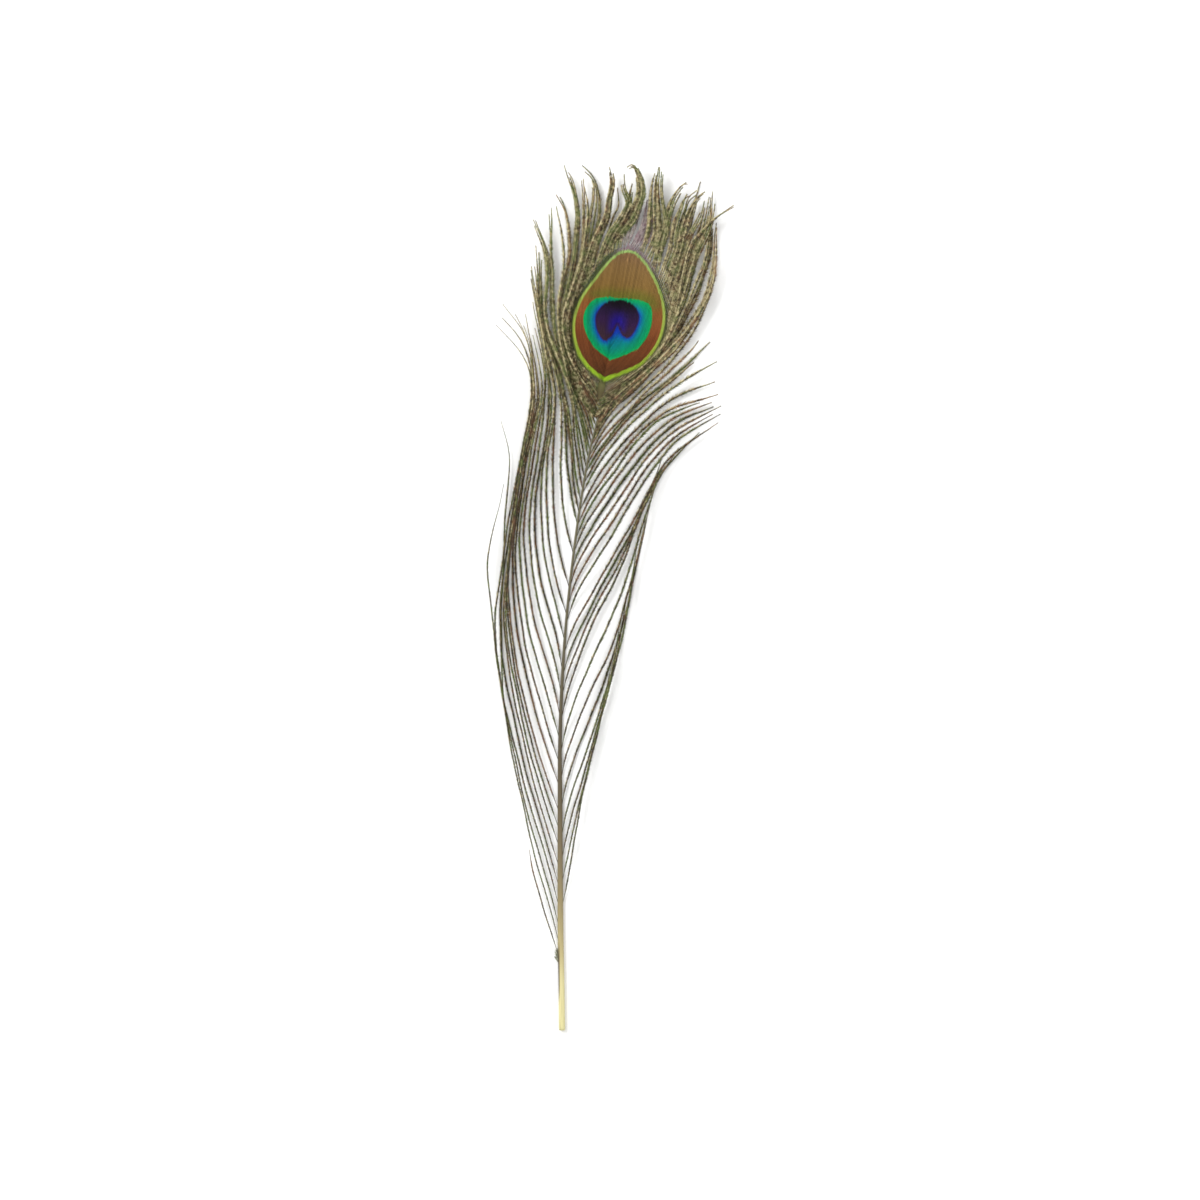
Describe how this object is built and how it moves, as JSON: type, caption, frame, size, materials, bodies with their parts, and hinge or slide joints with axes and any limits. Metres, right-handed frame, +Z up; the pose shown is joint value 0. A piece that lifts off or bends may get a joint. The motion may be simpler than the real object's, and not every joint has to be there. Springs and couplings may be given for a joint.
{
  "type": "peacock feather",
  "caption": "Peacock tail feather lying flat: a thin tapering shaft, long loose barbs down both sides and a bright oval eye near the tip. A natural decoration that rests on a surface.",
  "frame": {"origin": "on the flat underside of the shaft, on its middle line, 12 mm up from the quill's cut end", "axes": "+Y runs up the feather from the quill to the tip, +X is to the right when the bright side is seen with the tip up, and +Z is up out of the bright side"},
  "size_m": [0.0795, 0.2991, 0.0046],
  "materials": {
    "shaft": "satin horn, cream at the quill and grey-brown higher up",
    "eye": "iridescent hooked barbs: bronze with a teal, blue and violet centre and a lime ring",
    "barb": "matt olive-brown strands with green and copper glints"
  },
  "bodies": {
    "root": {"shaft": "shaft", "eye": "eye", "barb_left_01": "barb", "barb_left_02": "barb", "barb_left_03": "barb", "barb_left_04": "barb", "barb_left_05": "barb", "barb_left_06": "barb", "barb_left_07": "barb", "barb_left_08": "barb", "barb_left_09": "barb", "barb_left_10": "barb", "barb_left_11": "barb", "barb_left_12": "barb", "barb_left_13": "barb", "barb_left_14": "barb", "barb_left_15": "barb", "barb_left_16": "barb", "barb_left_17": "barb", "barb_left_18": "barb", "barb_left_19": "barb", "barb_left_20": "barb", "barb_left_21": "barb", "barb_left_22": "barb", "barb_left_23": "barb", "barb_left_24": "barb", "barb_left_25": "barb", "barb_left_26": "barb", "barb_left_27": "barb", "barb_left_28": "barb", "barb_right_01": "barb", "barb_right_02": "barb", "barb_right_03": "barb", "barb_right_04": "barb", "barb_right_05": "barb", "barb_right_06": "barb", "barb_right_07": "barb", "barb_right_08": "barb", "barb_right_09": "barb", "barb_right_10": "barb", "barb_right_11": "barb", "barb_right_12": "barb", "barb_right_13": "barb", "barb_right_14": "barb", "barb_right_15": "barb", "barb_right_16": "barb", "barb_right_17": "barb", "barb_right_18": "barb", "barb_right_19": "barb", "barb_right_20": "barb", "barb_right_21": "barb", "barb_right_22": "barb", "barb_right_23": "barb", "barb_right_24": "barb", "barb_right_25": "barb"}
  },
  "joints": []
}
